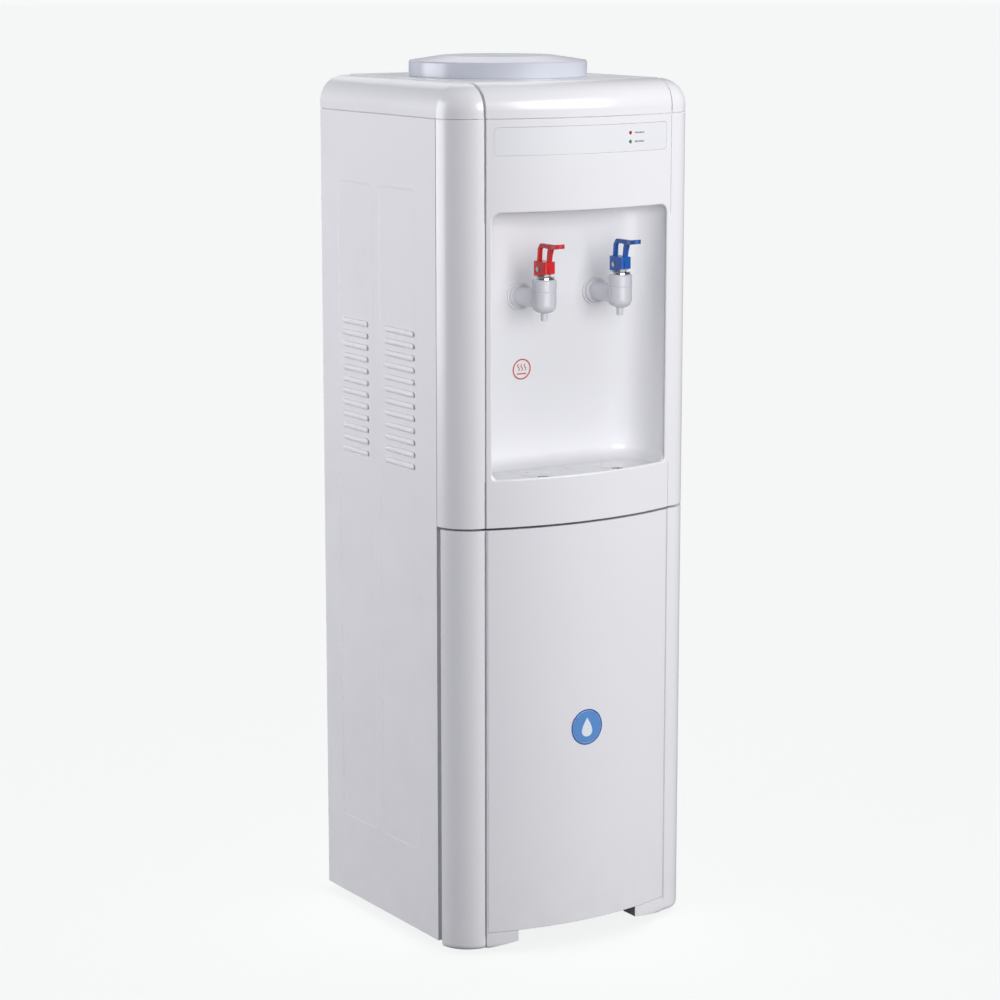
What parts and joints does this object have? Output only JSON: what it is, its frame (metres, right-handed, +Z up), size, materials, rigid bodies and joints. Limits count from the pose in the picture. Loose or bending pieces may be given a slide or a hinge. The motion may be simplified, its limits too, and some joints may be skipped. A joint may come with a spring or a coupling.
{
  "type": "water dispenser",
  "caption": "Floor-standing hot and cold bottle water dispenser with two press taps in a recess, a lift-out drip tray and a hinged storage door.",
  "frame": {"origin": "on the floor under the middle of the object's box, seen from above", "axes": "+Z up; the front with its door and taps faces -Y; +X is to the right for someone facing the front"},
  "size_m": [0.3136, 0.334, 0.962],
  "materials": {
    "case_steel": "light grey-white powder coat, satin",
    "body_white": "white gloss ABS",
    "recess_white": "white high-gloss ABS",
    "door_white": "white gloss, very slightly greyer than the pillars",
    "lid_white": "translucent bluish-white gloss plastic",
    "label_film": "printed film, satin",
    "tap_white": "white food-grade plastic",
    "hot_red": "moulded red plastic",
    "cold_blue": "moulded blue plastic",
    "chrome_trim": "bright chrome plate",
    "pin_white": "white acetal",
    "silicone": "milky silicone rubber",
    "feet_rubber": "black rubber",
    "seal_grey": "soft grey PVC seal",
    "zinc_steel": "zinc-plated steel",
    "stainless": "stainless steel",
    "foam_white": "expanded polystyrene foam",
    "black_plastic": "black moulded plastic",
    "white_plastic": "white moulded liner plastic",
    "aluminium_sink": "plain extruded aluminium",
    "board_green": "circuit board and its parts",
    "lamp_red": "red lamp lens",
    "lamp_green": "green lamp lens"
  },
  "bodies": {
    "case": {"base_pan": "zinc_steel", "rubber_feet": "feet_rubber", "left_side_panel": "case_steel", "right_side_panel": "case_steel", "rear_panel": "case_steel", "case_screws": "zinc_steel", "front_fascia": "body_white", "indicator_label": "label_film", "heating_lamp": "lamp_red", "cooling_lamp": "lamp_green", "recess_liner": "recess_white", "top_cover": "body_white", "bottle_seat": "body_white", "water_probe": "tap_white", "mid_deck": "zinc_steel", "cabinet_liner": "white_plastic", "cabinet_shelf": "white_plastic", "hinge_brackets": "zinc_steel", "hinge_pins": "zinc_steel", "door_catch": "black_plastic", "hot_tap_body": "tap_white", "cold_tap_body": "tap_white", "hot_tap_bonnet": "tap_white", "cold_tap_bonnet": "tap_white", "hot_valve_spring": "stainless", "cold_valve_spring": "stainless", "tap_rings": "chrome_trim", "tap_flanges": "tap_white", "tap_nuts": "tap_white", "lever_pins": "pin_white", "cold_tank": "stainless", "cold_tank_jacket": "foam_white", "cooling_module": "aluminium_sink", "heat_sink": "aluminium_sink", "fan_frame": "black_plastic", "fan_guard": "zinc_steel", "hot_tank": "stainless", "heater_band": "stainless", "thermostats": "black_plastic", "water_hoses": "silicone", "power_board": "board_green", "switch_frames": "black_plastic", "cable_gland": "black_plastic", "drain_spigot": "tap_white"},
    "door": {"door_frame": "body_white", "door_panel": "door_white", "door_back": "white_plastic", "door_gasket": "seal_grey", "strike_plate": "zinc_steel"},
    "lid": {"dust_lid": "lid_white"},
    "tray": {"drip_tray": "recess_white"},
    "grid": {"drip_grid": "recess_white"},
    "hot_lever_body": {"hot_lever": "hot_red"},
    "cold_lever_body": {"cold_lever": "cold_blue"},
    "hot_valve": {"hot_valve_stem": "silicone"},
    "cold_valve": {"cold_valve_stem": "silicone"},
    "fan": {"fan_rotor": "black_plastic"},
    "heat_switch": {"heat_rocker": "black_plastic"},
    "cool_switch": {"cool_rocker": "black_plastic"},
    "drain_plug": {"drain_cap": "tap_white"}
  },
  "joints": [
    {"name": "door_hinge", "type": "hinge", "parent": "case", "child": "door", "pos_m": [0.144, -0.104, 0.237], "axis": [0, 0, 1], "range_deg": [0, 110]},
    {"name": "lid_lift", "type": "slide", "parent": "case", "child": "lid", "axis": [0, 0, 1], "range_m": [0, 0.4]},
    {"name": "tray_lift", "type": "slide", "parent": "case", "child": "tray", "axis": [0, 0, 1], "range_m": [0, 0.06]},
    {"name": "grid_lift", "type": "slide", "parent": "tray", "child": "grid", "axis": [0, 0, 1], "range_m": [0, 0.06]},
    {"name": "fan_spin", "type": "hinge", "parent": "case", "child": "fan", "pos_m": [0, 0.146, 0.765], "axis": [0, 1, 0], "continuous": true},
    {"name": "heat_switch_rock", "type": "hinge", "parent": "case", "child": "heat_switch", "pos_m": [0.1, 0.1545, 0.61], "axis": [1, 0, 0], "range_deg": [0, 14]},
    {"name": "cool_switch_rock", "type": "hinge", "parent": "case", "child": "cool_switch", "pos_m": [0.1, 0.1545, 0.575], "axis": [1, 0, 0], "range_deg": [0, 14]},
    {"name": "drain_cap_pull", "type": "slide", "parent": "case", "child": "drain_plug", "axis": [0, 1, 0], "range_m": [0, 0.02]},
    {"name": "hot_lever_press", "type": "hinge", "parent": "case", "child": "hot_lever_body", "pos_m": [-0.0485, -0.13, 0.7445], "axis": [1, 0, 0], "range_deg": [0, 12], "stiffness_Nm_per_rad": 0.25, "springref_deg": -8.59},
    {"name": "hot_valve_lift", "type": "slide", "parent": "case", "child": "hot_valve", "axis": [0, 0, 1], "range_m": [0, 0.003], "deforming": ["hot_valve_spring"]},
    {"name": "cold_lever_press", "type": "hinge", "parent": "case", "child": "cold_lever_body", "pos_m": [0.0485, -0.13, 0.7445], "axis": [1, 0, 0], "range_deg": [0, 12], "stiffness_Nm_per_rad": 0.25, "springref_deg": -8.59},
    {"name": "cold_valve_lift", "type": "slide", "parent": "case", "child": "cold_valve", "axis": [0, 0, 1], "range_m": [0, 0.003], "deforming": ["cold_valve_spring"]}
  ],
  "couplings": [
    {"joint": "hot_valve_lift", "follows": "hot_lever_press", "m_per_rad": 0.01432},
    {"joint": "cold_valve_lift", "follows": "cold_lever_press", "m_per_rad": 0.01432}
  ]
}
